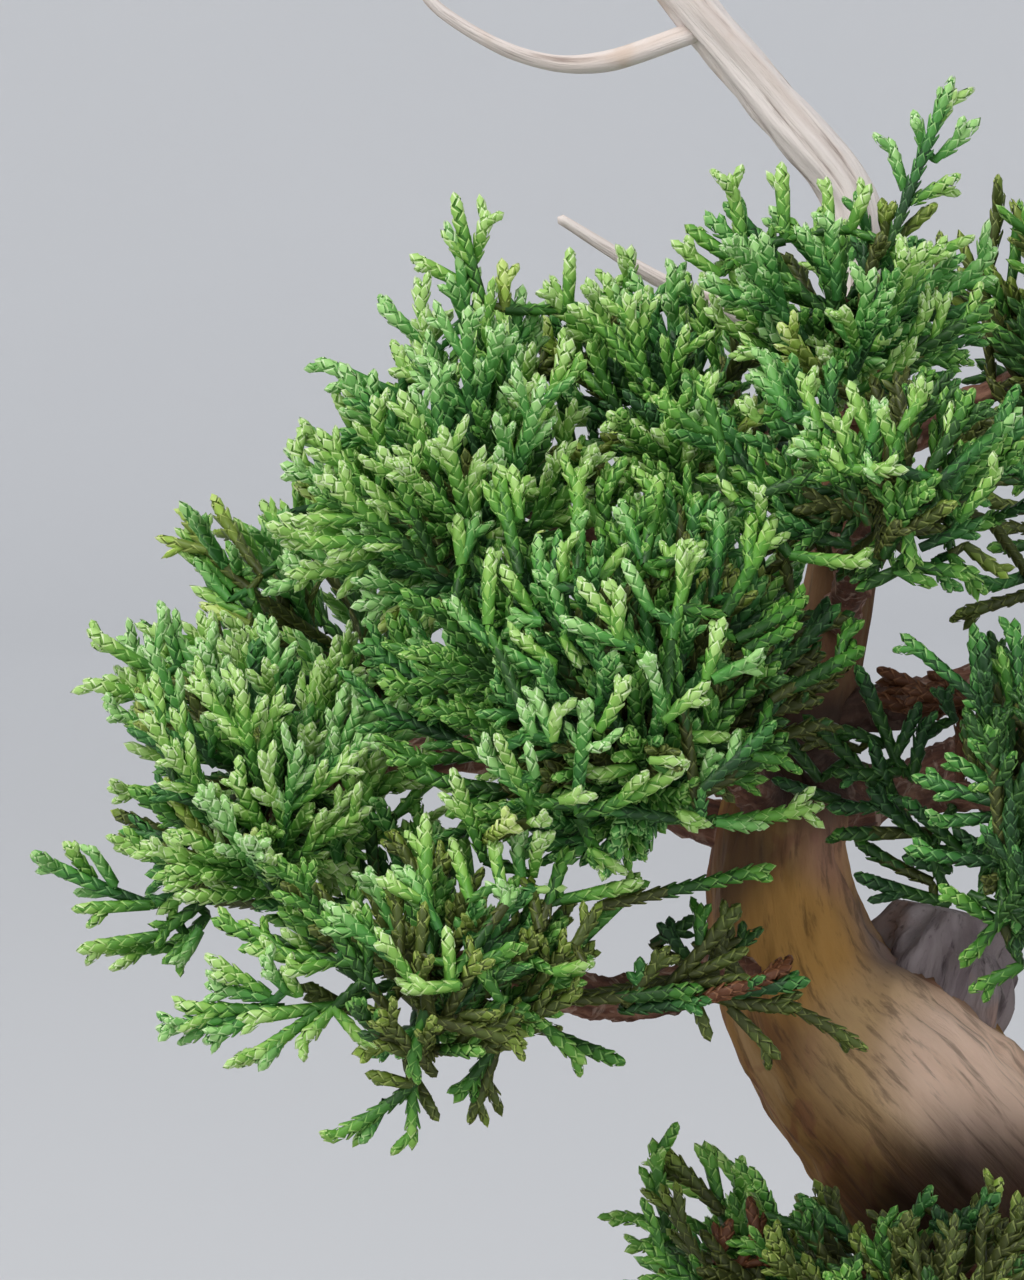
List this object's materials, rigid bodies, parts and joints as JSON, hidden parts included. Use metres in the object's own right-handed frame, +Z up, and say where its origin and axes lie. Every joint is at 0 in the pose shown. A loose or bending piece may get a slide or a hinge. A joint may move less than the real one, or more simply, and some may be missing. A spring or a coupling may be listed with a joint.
{
  "type": "chinese juniper bonsai",
  "caption": "Small juniper bonsai: leaning trunk with an elbow, bleached dead top, pads of scale foliage on separate boughs, and a plain rectangular pot with soil.",
  "frame": {"origin": "centre of the pot's flat underside", "axes": "+Z up, +X to the right and +Y away from the side that the picture was taken from"},
  "size_m": [0.1025, 0.0785, 0.1407],
  "materials": {
    "pot": "unglazed brown, matt",
    "soil": "fine granular soil, matt",
    "bark": "flaking red-brown bark with golden-brown living wood",
    "deadwood": "bleached bare wood with grain",
    "foliage": "overlapping green scale leaves, satin, lighter at the tips"
  },
  "bodies": {
    "root": {"pot": "pot", "soil": "soil", "trunk": "bark", "dead_top": "deadwood", "dead_side_twig": "deadwood", "dead_snag": "deadwood", "dead_stub": "deadwood", "bough_front_centre": "bark", "bough_front_low": "bark", "bough_front_twig": "bark", "bough_left": "bark", "bough_upper_left": "bark", "bough_upper_middle": "bark", "bough_upper_right": "bark", "bough_right_middle": "bark", "bough_right_front": "bark", "bough_far_right": "bark", "bough_low_front": "bark", "bough_right_outer": "bark", "bough_right_low": "bark", "bough_back_right": "bark", "bough_back_left": "bark", "bough_back_top": "bark", "bough_far_left": "bark", "bough_low_back": "bark", "mass_front_centre": "foliage", "mass_front_low": "foliage", "mass_front_twig": "foliage", "mass_left": "foliage", "mass_upper_left": "foliage", "mass_upper_middle": "foliage", "mass_upper_right": "foliage", "mass_right_middle": "foliage", "mass_right_front": "foliage", "mass_far_right": "foliage", "mass_low_front": "foliage", "mass_right_outer": "foliage", "mass_right_low": "foliage", "mass_back_right": "foliage", "mass_back_left": "foliage", "mass_back_top": "foliage", "mass_far_left": "foliage", "mass_low_back": "foliage"}
  },
  "joints": []
}
